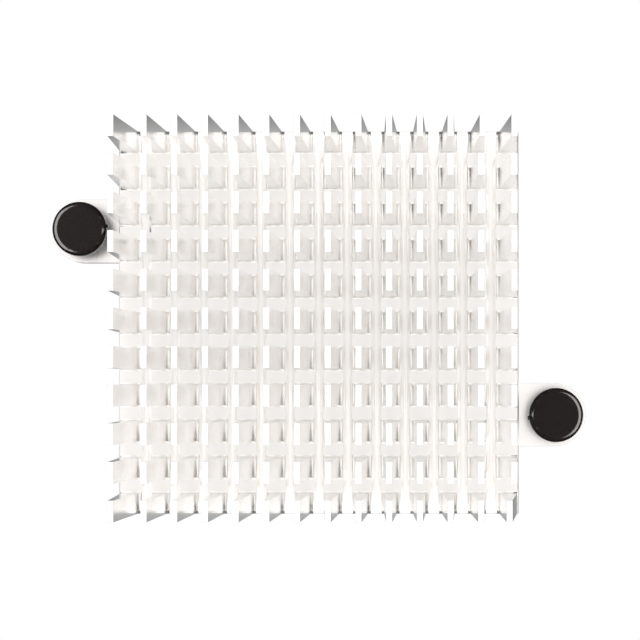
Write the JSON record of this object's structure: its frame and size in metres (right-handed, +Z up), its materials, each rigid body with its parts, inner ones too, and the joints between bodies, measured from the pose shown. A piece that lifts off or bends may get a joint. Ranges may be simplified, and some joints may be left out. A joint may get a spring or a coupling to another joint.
{
  "type": "pin fin heat sink",
  "caption": "Square aluminium pin fin heat sink, cross-cut extrusion, with two diagonal ears holding spring-loaded black push pins that snap into a circuit board.",
  "frame": {"origin": "middle of the base's flat underside, the face that lies on the chip", "axes": "+Z up along the pins, away from the chip; +X across the fins, towards the right-hand ear; +Y along the extrusion"},
  "size_m": [0.0632, 0.0452, 0.0232],
  "materials": {
    "aluminium": "bright extruded flanks, saw-cut floors and pin ends",
    "nylon": "moulded black nylon, satin flat with a glossier rim",
    "spring_steel": "drawn and plated wire"
  },
  "bodies": {
    "sink": {"heat_sink": "aluminium", "left_spring": "spring_steel", "right_spring": "spring_steel"},
    "left_pin": {"left_push_pin": "nylon"},
    "right_pin": {"right_push_pin": "nylon"}
  },
  "joints": [
    {"name": "left_pin_press", "type": "slide", "parent": "sink", "child": "left_pin", "axis": [0, 0, -1], "range_m": [0, 0.002], "stiffness_N_per_m": 1300, "deforming": ["left_spring"]},
    {"name": "right_pin_press", "type": "slide", "parent": "sink", "child": "right_pin", "axis": [0, 0, -1], "range_m": [0, 0.002], "stiffness_N_per_m": 1300, "deforming": ["right_spring"]}
  ]
}
